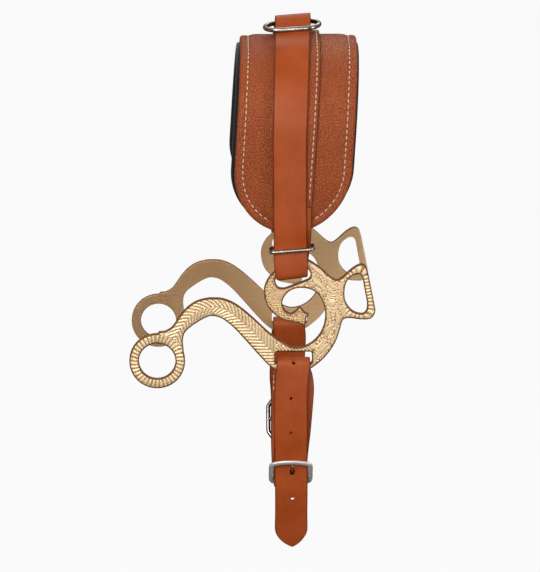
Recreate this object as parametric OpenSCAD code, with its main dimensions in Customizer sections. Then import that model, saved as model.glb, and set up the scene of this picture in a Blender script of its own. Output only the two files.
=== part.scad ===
// Mechanical hackamore with short cheeks: a padded noseband, two cast brass cheek plates
// and a buckled chin strap. Millimetres. +Z is up, -Y is the near (left) side, +X is forward.
// The origin is the middle of the noseband lining, at the top of the nose.

/* [Cheek plates] */
// Thickness of a cheek plate
plate_t = 5; // [4:0.5:6]
// Distance from the centre plane to the middle of a cheek plate
plate_y = 62; // [62:0.1:62.2]
// Radius of the hole in the rein ring
rein_hole_r = 13.2; // [11:0.1:15]
// Outer radius of the rein ring
rein_ring_r = 20.1; // [19:0.1:22]

/* [Noseband] */
// Radius of the nose arch on the lining
nose_r = 53; // [52.8:0.1:53]
// Half width of the leather cover
cover_hw = 42.3; // [40:0.1:43]
// How far the lining stands out past the leather
lining_lip = 2.5; // [1:0.5:4]
// Half width of the foam filler
filler_hw = 36; // [30:0.5:36]
// Thickness of the lining
lining_t = 4; // [3:0.5:4]
// Thickness of the foam filler
filler_t = 4; // [3:0.5:4]
// Thickness of the leather cover
cover_t = 2; // [1.5:0.1:2]
// Thickness of the base strap sewn on the pad
base_t = 2.5; // [1.5:0.1:2.5]
// How far the pad leans forward at the top
lean = 7.2; // [0:0.1:7.2]

/* [Straps] */
// Thickness of the noseband strap
strap_t = 2.8; // [2:0.1:2.8]
// Thickness of the chin strap
chin_t = 2.6; // [2:0.1:2.6]
// Thickness of the leather that holds a buckle
chape_t = 1.6; // [1.2:0.1:1.6]
// Diameter of a punched strap hole
punch_d = 3; // [2:0.1:3.4]
// Distance between punched holes
punch_pitch = 25.9; // [25:0.1:26]

/* [Metal fittings] */
// Diameter of the top ring wire
ring_wire_d = 3.5; // [2.5:0.1:3.5]
// Diameter of the wire keepers
keeper_wire_d = 2.5; // [2:0.1:2.5]
// Diameter of the buckle bars
buckle_bar_d = 3.2; // [2.6:0.1:3.2]
// Distance between the centres of a buckle's side bars
buckle_w = 28.2; // [28:0.1:30]
// Diameter of the buckle tongue
tongue_d = 2.2; // [1.6:0.1:2.2]
// Radial clearance of the tongue on its bar
tongue_gap = 0.05; // [0.02:0.01:0.1]

/* [Stitching] */
// Distance from one stitch to the next
stitch_pitch = 4.3; // [3.5:0.1:6]
// Length of a stitch
stitch_l = 3; // [2:0.1:3.4]
// Thickness of the thread
thread_t = 0.7; // [0.4:0.1:1]

/* [Hidden] */
$fn = 64;
eps = 0.01;

leather = [0.64, 0.33, 0.20];
brass = [0.86, 0.72, 0.50];
nickel = [0.62, 0.60, 0.58];
thread = [0.93, 0.90, 0.84];

// Heights of the pad: where its rounded ends start, and how long they are
pad_end_z = -78;
cover_end_h = 46;
lining_end_h = 45;
filler_end_h = 36;
base_end_z = -103.4;

// Offsets of the layers from the lining's inner face
cover_o = lining_t + filler_t + cover_t;
border_o = lining_t + cover_t;
base_o = cover_o + base_t;
front_r = nose_r + base_o + strap_t / 2 + 0.8;

// Cheek plate, in the XZ plane
ring_c = [-96.5, -217.3];
outline = [
    [-96, -197.2], [-91, -195.5], [-86.5, -193], [-83.5, -189.3], [-80, -184], [-76.3, -179.4],
    [-72.5, -176], [-67.5, -173], [-60.5, -171.1], [-55, -170.9], [-49.7, -171.3], [-44, -173.2],
    [-38.9, -176.1], [-33.5, -180.2], [-28.1, -184.9], [-21.6, -191.1], [-15.1, -197.2],
    [-7.9, -202.6], [-2, -206.4], [4, -207.9], [12.2, -205.8], [19.4, -199.8], [23.7, -191.3],
    [24.6, -182.3], [22.6, -173.6], [18.7, -167.4], [13, -164.2], [6.5, -163.4], [1.5, -164.4],
    [-2.5, -166.9], [-5.4, -170.9], [-6.3, -174.6], [-5.2, -178.8], [-2.8, -181.5],
    [0.2, -182.2], [3, -180.8], [6.1, -177.7], [8, -179.1], [10.1, -181.6], [12.8, -183.2],
    [11.2, -185.2], [10.8, -187.6], [9.4, -191.6], [6, -189.6], [-0.7, -188.3], [-5.8, -187],
    [-10.6, -184.1], [-16.4, -177.7], [-19.1, -170.5], [-19.3, -163.5], [-17.3, -158],
    [-14.9, -154.4], [-11.6, -151], [-7.4, -146.6], [-2.2, -142.5], [4.3, -140.7],
    [13, -143.3], [20.9, -148.7], [28.1, -155.3], [33.1, -157.8], [37.4, -155.4],
    [43.9, -149.4], [50.2, -146.2], [54.2, -149], [56.9, -159.9], [59.6, -173.8],
    [60.7, -181.4], [57.2, -186.4], [49.7, -186.8], [41.8, -185.8], [37.4, -187.2],
    [35.8, -192.2], [33.3, -200.6], [28.8, -209.2], [21.6, -217.6], [12, -224.4],
    [0, -227.2], [-9, -225.4], [-14.9, -221.6], [-19.6, -217], [-26, -209.8], [-31.3, -203.6],
    [-36.7, -197.4], [-41, -192.8], [-46, -188.4], [-51.1, -185.1], [-57.6, -183.9],
    [-64, -186.4], [-72.7, -192.2], [-77, -197.2], [-78, -204], [-78.4, -212], [-92, -212]
];
eye_outline = [
    [42.2, -156.2], [47.4, -153.3], [50.9, -155.4], [52.6, -163.5], [54.8, -176.2],
    [53.6, -181.5], [50, -182.8], [43.8, -180.3], [39.4, -174.2], [38.4, -167.2], [39.3, -160.8]
];
upper_slot = [
    [-11.2, -157], [-9.5, -153.6], [-5, -150.3], [1, -148.2], [7, -147.8], [12, -149.5],
    [13.8, -152.6], [13.2, -156.6], [6.5, -159.6], [-0.7, -162.4], [-5, -163.8],
    [-9, -163.2], [-10.9, -160.4]
];
lower_slot_x = [-11.3, 15.2];
lower_slot_z = [-219.6, -210.6];
slot_corner_r = 2;

// Top ring
ring_centre = [2, -5.6, 17.6];
ring_outer_w = 42.5;
ring_depth = 19.5;
ring_tilt = 5.9;
ring_roll = 3.8;

// Keepers: their height, and the left, right, outer and inner faces of their opening
keeper_z = -135;
keeper_roll = 4.5;
keeper_x = [-13.4, 14.6];
keeper_y = [-68.3, -56.2];

// Buckles, each as [y, z] of the lower bar, height between bars and how far the top leans out.
// The near one is a plain frame; the far one is taller, with its tongue on a middle bar.
near_buckle = [-55.8, -310.4, 19, 31];
far_buckle = [-52.1, -307.2, 30.6, 27];
near_tongue_bar = [-55.8, -310.4];
far_tongue_bar = [-59.05, -293.57];
tongue_x = 1;
near_tongue = [[-57.2, -308.1], [-58.5, -304.7], [-66, -297.8], [-68.5, -295.2]];
far_tongue = [[-60.2, -291.3], [-61.1, -288.7], [-66.2, -283.6], [-69, -280.9]];
tongue_room = 0.8;

// Strap rows are [y, z, left x, right x, skew]; a skew of k lifts a point by k times its x
wrap = [
    [-64.6, -104, -9.5, 14.6, 0], [-64.6, -110, -9.5, 14.6, 0], [-64.6, -116, -9.5, 14.6, 0],
    [-64.2, -121.5, -9.5, 14.5, 0.01], [-62.2, -127.5, -9.6, 14.4, 0.03],
    [-59.9, -134, -9.6, 14, 0.06], [-58, -141, -9.4, 13.2, 0.1], [-57.2, -147, -9.2, 12.4, 0.13],
    [-57.6, -153, -9.2, 12, 0.13], [-59.2, -155.2, -9.2, 12, 0.13], [-62, -155.6, -9.2, 12, 0.13],
    [-64.8, -155.2, -9.4, 12, 0.13], [-66.4, -153, -10.8, 12, 0.13],
    [-66.8, -147, -12, 12, 0.13], [-66.5, -140.5, -12.6, 11.8, 0.1],
    [-66.1, -133.5, -12.6, 11.5, 0.06], [-66.6, -127.5, -12.6, 11.3, 0.03],
    [-67.3, -121.3, -12.6, 11.2, 0.01], [-67.7, -115, -12.7, 11.1, 0], [-67.8, -107, -12.8, 11, 0]
];
crown = [
    [-15, 13.1, -10.6, 14.8, 0.066], [-9.5, 14.7, -10.4, 15.2, 0.075], [-4.8, 17.6, -10.3, 15.5, 0.075],
    [-1.2, 21, -10.2, 15.5, 0.077], [3.8, 22.75, -10.2, 15.5, 0.078],
    [8.9, 21.5, -10.2, 15.5, 0.077], [12.4, 18, -10.3, 15.5, 0.075], [17, 14.8, -10.6, 15, 0.06]
];
near_tail = [
    [-50.2, -360.9, 0.8, 2, 0], [-50.8, -358.5, -3.8, 5.8, 0], [-51.8, -354.3, -8.2, 9.5, 0],
    [-53.3, -348, -11.2, 12.3, 0], [-56.1, -336, -11.3, 12.3, 0], [-58.6, -325, -11.3, 12.3, 0]
];
far_tail = [
    [-52.3, -344.9, 0.6, 1.8, 0], [-52.9, -342.5, -3.9, 5.6, 0], [-53.9, -338.3, -8.2, 9.4, 0],
    [-55.5, -332, -11.2, 12.2, 0], [-57.2, -326.8, -11.3, 12.2, 0], [-59.3, -320, -11.3, 12.2, 0]
];
near_front = [
    [-60.4, -316, -11.4, 12.3, 0], [-61.2, -309, -11.6, 12.3, 0], [-61.5, -303, -11.8, 12.2, 0],
    [-62.4, -294.5, -11.8, 12.2, 0], [-64.3, -284.5, -12, 12.1, 0], [-66.3, -275, -12.2, 12, 0],
    [-67.5, -262, -12.4, 12, 0]
];
far_front = [
    [-60.9, -313, -11.4, 12.2, 0], [-62.3, -306, -11.6, 12.2, 0], [-63.6, -299.5, -11.8, 12.2, 0],
    [-64.1, -293.4, -11.8, 12.2, 0], [-63.2, -286.5, -11.8, 12.2, 0], [-62.4, -279.5, -12, 12.1, 0],
    [-63.7, -271, -12.4, 12, 0], [-66.2, -261, -13, 12, 0]
];
lower_loop = [
    [-67.8, -241, -12.2, 12, 0], [-67.5, -230, -11.6, 12.6, 0],
    [-67.2, -222.5, -10.7, 13.6, 0], [-66.7, -219, -10.3, 13.8, 0],
    [-65.3, -217.2, -10.3, 13.8, 0], [-62, -216.6, -10.3, 13.8, 0],
    [-58.7, -217.2, -10.3, 13.6, 0], [-57.3, -219, -10.3, 13.4, 0], [-57, -222.5, -10.4, 13.6, 0]
];
near_back = [
    [-58.2, -229.5, -10.8, 15.8, 0], [-60.4, -238, -11, 16.8, 0], [-61, -247, -11.3, 16.4, 0],
    [-60.9, -260, -11.7, 15.4, 0], [-60, -272, -12, 14.4, 0], [-57.5, -284, -12.2, 13.2, 0],
    [-53.8, -295, -12.3, 12.4, 0]
];
far_back = [
    [-58.2, -229.5, -10, 14.2, 0], [-60.4, -238, -10, 14, 0], [-61, -247, -10.6, 13.6, 0],
    [-59.6, -260, -11.4, 13.2, 0], [-57.1, -271, -12, 12.8, 0], [-55.2, -281, -12.2, 12.6, 0],
    [-53, -291, -12.3, 12.4, 0], [-51, -298, -12.3, 12.4, 0]
];
under_chin = [
    [-48.4, -304, -12.3, 12.4, 0], [-39.5, -311, -12.3, 12.4, 0], [-24, -315.2, -12.3, 12.4, 0],
    [-8, -316.2, -12.3, 12.4, 0]
];
chape_wrap_r = buckle_bar_d / 2 + 0.2 + chape_t / 2;
chape_x = [-12.1, 12.1];
near_chape_front = [[-65.1, -262], [-64.2, -272], [-61.8, -284], [-59.9, -296], [-59, -304.5]];
near_chape_back = [[-54.9, -304.5], [-56.9, -296], [-59.8, -284], [-62.25, -272], [-63.1, -262]];
far_chape_front = [[-63.6, -262], [-61.3, -271], [-60, -279], [-60.7, -286.5]];
far_chape_back = [[-56.9, -286.5], [-57.7, -281], [-59.35, -271], [-61.6, -262]];

// ---- curves ----

function catmull(a, b, c, d, t) = 0.5 * (
    2 * b + (c - a) * t + (2 * a - 5 * b + 4 * c - d) * pow(t, 2)
    + (3 * b - 3 * c + d - a) * pow(t, 3)
);
// Smooth open curve through the points, with n steps between each two
function smooth_open(p, n) = concat(
    [for (i = [0 : len(p) - 2], k = [0 : n - 1])
        catmull(p[max(i - 1, 0)], p[i], p[i + 1], p[min(i + 2, len(p) - 1)], k / n)],
    [p[len(p) - 1]]
);
function smooth_closed(p, n) = [
    for (i = [0 : len(p) - 1], k = [0 : n - 1])
        catmull(p[(i + len(p) - 1) % len(p)], p[i], p[(i + 1) % len(p)], p[(i + 2) % len(p)], k / n)
];
function reversed(p) = [for (i = [len(p) - 1 : -1 : 0]) p[i]];
// The same strap rows on the far side
function to_far(rows) = [for (r = rows) [-r[0], r[1], r[2], r[3], r[4]]];

// ---- solids ----

// A flat strap of one thickness swept along rows of [y, z, left x, right x, skew]
module ribbon(rows, t, n = 3) {
    r = smooth_open(rows, n);
    last = len(r) - 1;
    function along(i) = [
        r[min(i + 1, last)][0] - r[max(i - 1, 0)][0], r[min(i + 1, last)][1] - r[max(i - 1, 0)][1]
    ];
    function side(i) = [-along(i)[1], along(i)[0]] / norm(along(i)) * t / 2;
    function corner(i, x, s) = [x, r[i][0] + s * side(i)[0], r[i][1] + s * side(i)[1] + r[i][4] * x];
    points = [
        for (i = [0 : last])
            each [corner(i, r[i][2], 1), corner(i, r[i][3], 1), corner(i, r[i][3], -1),
                  corner(i, r[i][2], -1)]
    ];
    sides = [
        for (i = [0 : last - 1], k = [0 : 3])
            each [[4 * i + k, 4 * i + (k + 1) % 4, 4 * i + 4 + (k + 1) % 4],
                  [4 * i + k, 4 * i + 4 + (k + 1) % 4, 4 * i + 4 + k]]
    ];
    caps = [[3, 2, 1, 0], [for (k = [0 : 3]) 4 * last + k]];
    polyhedron(points, concat(sides, caps), convexity = 8);
}

// Extrudes a 2D shape whose axes are Y and Z, from x0 to x1
module along_x(x0, x1) {
    translate([x0, 0, 0]) rotate([90, 0, 90]) linear_extrude(x1 - x0) children();
}

// Extrudes a 2D shape whose axes are X and Z, from y0 to y1
module along_y(y0, y1) {
    translate([0, y1, 0]) rotate([90, 0, 0]) linear_extrude(y1 - y0) children();
}

// A round bar between two points
module bar(a, b, d) {
    v = b - a;
    translate(a)
        rotate([0, acos(v[2] / norm(v)), atan2(v[1], v[0])])
            cylinder(d = d, h = norm(v));
}

// A wire through the points, with round joins
module wire(points, d) {
    for (i = [0 : len(points) - 2]) bar(points[i], points[i + 1], d);
    for (p = points) translate(p) sphere(d = d);
}

module far() {
    mirror([0, 1, 0]) children();
}

// ---- noseband ----

module arch_area(offset_out, bottom) {
    r = nose_r + offset_out;
    translate([0, -nose_r]) circle(r, $fn = 128);
    translate([-r, bottom]) square([2 * r, -nose_r - bottom]);
}

// A layer of the arch between two offsets from the lining's inner face
module arch_layer(inner, outer, half_w) {
    along_x(-half_w - 3, half_w + lean)
        difference() {
            arch_area(outer, -130);
            arch_area(inner, -131);
        }
}

// How far the centre lines of the pad and of the base strap are forward at height z
function rise(z) = min(1, max(0, (z + 120) / 120));
function lean_at(z) = lean * rise(z) - 0.8;
function base_lean_at(z) = 5.5 * rise(z);

// Side view of a pad layer: straight sides with rounded ends
module pad_side(half_w, end_h) {
    along_y(-90, 90)
        polygon(concat(
            [[lean_at(20) - half_w, 20], [lean_at(20) + half_w, 20], [lean_at(0) + half_w, 0]],
            [for (a = [0 : 7.5 : 180])
                [lean_at(pad_end_z - end_h * sin(a)) + half_w * cos(a), pad_end_z - end_h * sin(a)]],
            [[lean_at(0) - half_w, 0]]
        ));
}

module nose_pad_lining() {
    color("black")
        intersection() {
            arch_layer(0, lining_t, cover_hw + lining_lip);
            translate([-1.2, 0, 0]) pad_side(cover_hw + lining_lip, lining_end_h);
        }
}

module nose_pad_filler() {
    color("gainsboro")
        intersection() {
            arch_layer(lining_t, lining_t + filler_t, filler_hw);
            pad_side(filler_hw, filler_end_h);
        }
}

module nose_pad_cover() {
    color(leather)
        difference() {
            union() {
                intersection() {
                    arch_layer(lining_t, border_o, cover_hw);
                    pad_side(cover_hw, cover_end_h);
                }
                intersection() {
                    arch_layer(border_o - 1, cover_o, filler_hw + cover_t);
                    pad_side(filler_hw + cover_t, filler_end_h + cover_t);
                }
            }
            intersection() {
                arch_layer(lining_t - 1, lining_t + filler_t, filler_hw);
                pad_side(filler_hw, filler_end_h);
            }
        }
}

// Half width of the base strap at the top and at its ends
base_hw = [16.3, 14.3];

module base_strap() {
    top = base_lean_at(0);
    end = base_lean_at(base_end_z);
    color(leather)
        intersection() {
            arch_layer(cover_o, base_o, base_hw[0]);
            along_y(-90, 90)
                polygon([
                    [top - base_hw[0], 20], [top + base_hw[0], 20], [top + base_hw[0], 0],
                    [end + base_hw[1], base_end_z], [end - base_hw[1], base_end_z], [top - base_hw[0], 0]
                ]);
        }
}

// Rows where the front layer follows the arch, from the leg up to the crown
arch_rows = [
    for (a = [180 : -9 : 117])
        [front_r * cos(a), -nose_r + front_r * sin(a), -13.1 + 2 * (180 - a) / 63,
         11 + 3 * (180 - a) / 63, 0]
];

module noseband_strap() {
    near_rows = concat(wrap, [[-front_r, -75, -13, 11, 0]], arch_rows);
    color(leather) ribbon(concat(near_rows, crown, reversed(to_far(near_rows))), strap_t);
}

// ---- wire fittings ----

// A flat wire loop with round ends, lying in XY, open size w by d over the centre lines
module wire_loop(w, d, wire_d) {
    for (s = [-1, 1]) {
        translate([s * (w - d) / 2, 0, 0])
            rotate([0, 0, s > 0 ? -90 : 90])
                rotate_extrude(angle = 180) translate([d / 2, 0]) circle(d = wire_d, $fn = 32);
        translate([-(w - d) / 2, s * d / 2, 0])
            rotate([0, 90, 0]) cylinder(d = wire_d, h = w - d, $fn = 32);
    }
}

module top_ring() {
    color(nickel)
        translate(ring_centre)
            rotate([ring_tilt, -ring_roll, 0])
                wire_loop(ring_outer_w - ring_wire_d, ring_depth, ring_wire_d);
}

module keeper() {
    r = keeper_wire_d / 2;
    x0 = keeper_x[0] - r;
    x1 = keeper_x[1] + r;
    y0 = keeper_y[0] - r;
    y1 = keeper_y[1] + r;
    color(nickel)
        translate([0, 0, keeper_z])
            rotate([0, -keeper_roll, 0])
                wire([[x0, y0, 0], [x1, y0, 0], [x1, y1, 0], [x0, y1, 0], [x0, y0, 0]],
                     keeper_wire_d, $fn = 24);
}

// ---- cheek plates ----

module slot_area() {
    r = slot_corner_r;
    for (x = [lower_slot_x[0] + r, lower_slot_x[1] - r], z = [lower_slot_z[0] + r, lower_slot_z[1] - r])
        translate([x, z]) circle(r, $fn = 24);
    translate([lower_slot_x[0] + r, lower_slot_z[0]])
        square([lower_slot_x[1] - lower_slot_x[0] - 2 * r, lower_slot_z[1] - lower_slot_z[0]]);
    translate([lower_slot_x[0], lower_slot_z[0] + r])
        square([lower_slot_x[1] - lower_slot_x[0], lower_slot_z[1] - lower_slot_z[0] - 2 * r]);
}

module cheek_plate() {
    color(brass)
        translate([0, -plate_y, 0])
            difference() {
                union() {
                    along_y(-plate_t / 2, plate_t / 2) polygon(smooth_closed(outline, 3));
                    translate([ring_c[0], 0, ring_c[1]])
                        rotate([90, 0, 0]) cylinder(r = rein_ring_r, h = plate_t, center = true);
                }
                translate([ring_c[0], 0, ring_c[1]])
                    rotate([90, 0, 0]) cylinder(r = rein_hole_r, h = plate_t + 2, center = true);
                along_y(-plate_t, plate_t) polygon(smooth_closed(eye_outline, 4));
                along_y(-plate_t, plate_t) polygon(smooth_closed(upper_slot, 4));
                along_y(-plate_t, plate_t) slot_area();
            }
}

// ---- chin strap and buckles ----

// Punched holes at the given multiples of the pitch below a height, each at its own x. The last,
// in the tail, is square to the leather there.
module punched_holes(top_z, steps, tail_tilt) {
    for (i = steps)
        translate([[1.9, 0, 0, 0, 1.3][i], -74, top_z - i * punch_pitch - (i > 3 ? 16 * tan(tail_tilt) : 0)])
            rotate([i > 3 ? tail_tilt - 90 : -90, 0, 0])
                cylinder(d = punch_d, h = i > 3 ? 24 : 11, $fn = 24);
}

module tongue_hole(path) {
    start = path[1] - 0.2 * (path[2] - path[1]);
    bar([tongue_x, start[0], start[1]], [tongue_x, path[2][0], path[2][1]],
        tongue_d + 2 * tongue_room);
}

module chin_strap() {
    near_rows = concat(near_tail, near_front, lower_loop, near_back, under_chin);
    far_rows = concat(far_tail, far_front, lower_loop, far_back, under_chin);
    color(leather)
        difference() {
            ribbon(concat(near_rows, reversed(to_far(far_rows))), chin_t);
            punched_holes(-218.3, [0, 1, 2, 4], 13);
            tongue_hole(near_tongue);
            far() {
                punched_holes(-208.3, [1, 2, 4], 0);
                tongue_hole(far_tongue);
            }
        }
}

// The leather that holds a buckle, turned round the bar. Its slot for the tongue is open
// up to slot_top in the front layer, and slot_y is where that opening ends inside.
module chape(front, back, round_bar, slot_top, slot_y) {
    turn = [for (a = [180 : 30 : 390]) round_bar + chape_wrap_r * [cos(a), sin(a)]];
    rows = [for (p = concat(front, turn, back)) [p[0], p[1], chape_x[0], chape_x[1], 0]];
    slot_w = 4.4;
    slot_bottom = round_bar[1] - 5;
    color(leather)
        difference() {
            ribbon(rows, chape_t, 2);
            translate([tongue_x - slot_w / 2, round_bar[0] - 8, slot_bottom])
                cube([slot_w, 16, round_bar[1] + 3.8 - slot_bottom]);
            translate([tongue_x - slot_w / 2, round_bar[0] - 8, slot_bottom])
                cube([slot_w, slot_y - round_bar[0] + 8, slot_top - slot_bottom]);
        }
}

module buckle_frame(size, bars) {
    w = buckle_w / 2;
    color(nickel)
        translate([0, size[0], size[1]])
            rotate([size[3], 0, 0]) {
                wire([[-w, 0, 0], [w, 0, 0], [w, 0, size[2]], [-w, 0, size[2]], [-w, 0, 0]],
                     buckle_bar_d, $fn = 32);
                for (z = bars) bar([-w, 0, z], [w, 0, z], buckle_bar_d, $fn = 32);
            }
}

// Outline of a bent bar of half width r along the path p, with a round end
function bar_outline(p, r) = let (
    last = len(p) - 1,
    heading = [for (i = [0 : last])
        let (v = p[min(i + 1, last)] - p[max(i - 1, 0)]) atan2(v[1], v[0])]
) concat(
    [for (i = [0 : last - 1]) p[i] + r * [cos(heading[i] - 90), sin(heading[i] - 90)]],
    [for (a = [-90 : 30 : 90]) p[last] + r * [cos(heading[last] + a), sin(heading[last] + a)]],
    [for (i = [last - 1 : -1 : 0]) p[i] + r * [cos(heading[i] + 90), sin(heading[i] + 90)]]
);

module buckle_tongue(path, round_bar) {
    eye_r = buckle_bar_d / 2 + tongue_gap;
    color(nickel)
        difference() {
            union() {
                along_x(tongue_x - tongue_d / 2, tongue_x + tongue_d / 2)
                    polygon(bar_outline(smooth_open(path, 3), tongue_d / 2));
                translate([tongue_x - 1.5, round_bar[0], round_bar[1]])
                    rotate([0, 90, 0]) cylinder(r = eye_r + 1.3, h = 3, $fn = 32);
            }
            translate([tongue_x - 5, round_bar[0], round_bar[1]])
                rotate([0, 90, 0]) cylinder(r = eye_r, h = 10, $fn = 32);
        }
}

// ---- stitching ----

// One stitch lying on the arch, at distance s along it from the top, turned by a in the surface
module stitch_on_arch(s, x, r, a = 0) {
    quarter = PI / 2 * r;
    side = s < 0 ? -1 : 1;
    d = abs(s);
    lift = r + thread_t / 2 + 0.05;
    if (d < quarter)
        translate([x, 0, -nose_r])
            rotate([-side * d / r * 180 / PI, 0, 0])
                translate([0, 0, lift]) rotate([0, 0, a]) cube([thread_t, stitch_l, thread_t], center = true);
    else
        translate([x, side * lift, -nose_r - (d - quarter)])
            rotate([-side * 90, 0, 0]) rotate([0, 0, a]) cube([thread_t, stitch_l, thread_t], center = true);
}

border_inset = 6;

// Two rows along the pad's sides, and one round each end except under the straps
module pad_border_stitching() {
    r = nose_r + cover_o;
    quarter = PI / 2 * r;
    leg = -nose_r - pad_end_z;
    half_w = cover_hw - border_inset;
    rows = floor((quarter + leg) / stitch_pitch);
    color(thread)
        for (side = [-1, 1]) {
            for (i = [0 : rows], e = [-1, 1])
                if (i > 0 || side > 0) {
                    z = i * stitch_pitch < quarter
                        ? -nose_r + r * cos(i * stitch_pitch / r * 180 / PI)
                        : -nose_r - (i * stitch_pitch - quarter);
                    stitch_on_arch(side * i * stitch_pitch, lean_at(z) + e * half_w, r);
                }
            for (a = [6 : 6 : 174])
                if (abs(half_w * cos(a)) > 17.5) {
                    z = pad_end_z - filler_end_h * sin(a);
                    turn = atan2(half_w * sin(a), filler_end_h * cos(a));
                    stitch_on_arch(side * (quarter - nose_r - z), lean_at(z) + half_w * cos(a), r, side * turn);
                }
        }
}

module base_strap_stitching() {
    r = nose_r + base_o;
    reach = PI / 2 * r - nose_r - base_end_z - 4;
    inset = 2.2;
    count = floor(reach / stitch_pitch);
    color(thread)
        for (i = [-count : count]) {
            s = i * stitch_pitch;
            f = abs(s) / reach;
            stitch_on_arch(s, (base_lean_at(0) + base_hw[0]) * (1 - f) + base_hw[1] * f - inset, r);
        }
}

// Two short rows of stitches on the inner face of the strap, between rows 1 and 2 of p
module chape_stitching(p) {
    span = norm([p[2][0] - p[1][0], p[2][1] - p[1][1]]);
    off = chin_t / 2 + 0.25;
    function at(t) = catmull(p[0], p[1], p[2], p[3], t);
    color(thread)
        for (x = [chape_x[0] + 2, chape_x[1] - 2], k = [0 : 2]) {
            t = 0.1 + k * stitch_pitch / span;
            go = at(t + 0.1) - at(t - 0.1);
            translate([x, at(t)[0], at(t)[1]])
                rotate([atan2(go[1], go[0]) - 90, 0, 0])
                    translate([0, -off, 0]) cube([thread_t, 0.3, stitch_l], center = true);
        }
}

nose_pad_lining();
nose_pad_filler();
nose_pad_cover();
base_strap();
noseband_strap();
top_ring();
keeper();  // near_keeper
far() keeper();  // far_keeper
cheek_plate();  // near_cheek_plate
far() cheek_plate();  // far_cheek_plate
chin_strap();
chape(near_chape_front, near_chape_back, near_tongue_bar, -295.5, -57.6);  // near_chape
far() chape(far_chape_front, far_chape_back, far_tongue_bar, -282.5, -59.2);  // far_chape
buckle_frame(near_buckle, []);  // near_buckle_frame
far() buckle_frame(far_buckle, [far_buckle[2] / 2]);  // far_buckle_frame
buckle_tongue(near_tongue, near_tongue_bar);  // near_buckle_tongue
far() buckle_tongue(far_tongue, far_tongue_bar);  // far_buckle_tongue
pad_border_stitching();
base_strap_stitching();
chape_stitching([for (i = [2 : 5]) near_back[i]]);  // near_chape_stitching
far() chape_stitching([for (i = [2 : 5]) far_back[i]]);  // far_chape_stitching
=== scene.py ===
# Looks of the mechanical hackamore: padded noseband, engraved brass cheeks, buckled chin strap.
# Sizes are millimetres until mesh_piece() turns them into metres. -Y is the near side, +Z is up.
import math

import bmesh
import bpy
import numpy as np
from mathutils import Matrix, Vector
from mathutils.bvhtree import BVHTree
from mathutils.kdtree import KDTree


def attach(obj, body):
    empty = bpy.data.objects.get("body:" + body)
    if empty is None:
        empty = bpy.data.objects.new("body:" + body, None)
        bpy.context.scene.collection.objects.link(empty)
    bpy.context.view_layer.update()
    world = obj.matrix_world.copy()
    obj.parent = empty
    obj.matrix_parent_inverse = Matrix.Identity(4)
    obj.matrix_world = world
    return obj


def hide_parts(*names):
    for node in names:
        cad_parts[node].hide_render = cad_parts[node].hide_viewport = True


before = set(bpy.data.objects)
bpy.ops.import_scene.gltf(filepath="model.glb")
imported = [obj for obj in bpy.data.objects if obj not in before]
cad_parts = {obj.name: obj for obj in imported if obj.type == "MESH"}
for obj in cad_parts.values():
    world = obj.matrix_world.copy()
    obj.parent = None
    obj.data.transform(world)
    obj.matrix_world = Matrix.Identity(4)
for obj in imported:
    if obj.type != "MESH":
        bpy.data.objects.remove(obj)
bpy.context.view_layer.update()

MM = 0.001
PI = math.pi

# Noseband, the same sizes as the CAD part
NOSE_R = 53.0
LINING_T, FILLER_T, COVER_T, BASE_T = 4.0, 4.0, 2.0, 2.5
STRAP_T, CHIN_T, CHAPE_T = 2.8, 2.6, 1.6
COVER_HW, LINING_LIP, LINING_SHIFT = 42.3, 1.8, -0.6
PAD_END_Z, COVER_END_H, LINING_END_H = -78.0, 46.0, 43.0
BASE_HW, BASE_END_Z = (16.3, 14.3), -103.4
LEAN, BASE_LEAN = 7.2, 5.5
FRONT_R = NOSE_R + LINING_T + FILLER_T + COVER_T + BASE_T + STRAP_T / 2 + 0.8
BASE_TOP = LINING_T + FILLER_T + COVER_T
SEAM_INSET, FLANGE_O = 6.0, 8.9
STITCH_PITCH, STITCH_L, THREAD_D = 4.3, 3.1, 0.85
BASE_STITCH_INSET, CHAPE_STITCH_INSET = 2.4, 2.0
# Border stitches are left out under the base strap's end: below COVERED_Z and within COVERED_HW
COVERED_Z, COVERED_HW = -98.0, 17.5

# Fittings
PLATE_Y, PLATE_T = 62.0, 5.0
RING_C, RING_OUT_R = (-96.5, -217.3), 20.1
RING_CENTRE, RING_W, RING_DEPTH, RING_WIRE = (2, -5.6, 17.6), 39.0, 19.5, 3.5
RING_TILT, RING_ROLL = 5.9, 3.8
KEEPER_X, KEEPER_Y, KEEPER_Z, KEEPER_WIRE, KEEPER_ROLL = (-13.4, 14.6), (-68.3, -56.2), -135.0, 2.5, 4.5
# Buckles: y and z of the lower bar, height between bars, lean, y and z of the tongue's bar
BUCKLE_W = 28.2
NEAR_BUCKLE = (-55.8, -310.4, 19.0, 31.0)
FAR_BUCKLE = (-52.1, -307.2, 30.6, 27.0)
NEAR_TONGUE_BAR, FAR_TONGUE_BAR = (-55.8, -310.4), (-59.05, -293.57)
TONGUE_X, TONGUE_D, TONGUE_ROOM = 1.0, 2.2, 0.7
NEAR_TONGUE = [(-57.2, -308.1), (-58.5, -304.7), (-66, -297.8), (-68.5, -295.2)]
FAR_TONGUE = [(-60.2, -291.3), (-61.1, -288.7), (-66.2, -283.6), (-69, -280.9)]
# Punched holes: height of the first, which steps of the pitch have one, and tilt of the tail's
PUNCH_PITCH, PUNCH_START_Y, PUNCH_X = 25.9, -74, (1.9, 0, 0, 0, 1.3)
NEAR_PUNCH, FAR_PUNCH = (-218.3, (0, 1, 2, 4), 13), (-208.3, (1, 2, 4), 0)
STRAP_PUNCH_R, TAIL_PUNCH_R = 1.15, 1.5
CHAPE_WRAP_R, TONGUE_EYE_R, SLOT_HALF_W = 2.6, 2.3, 2.2
NEAR_SLOT_TOP, FAR_SLOT_TOP = -295.5, -282.5

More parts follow.
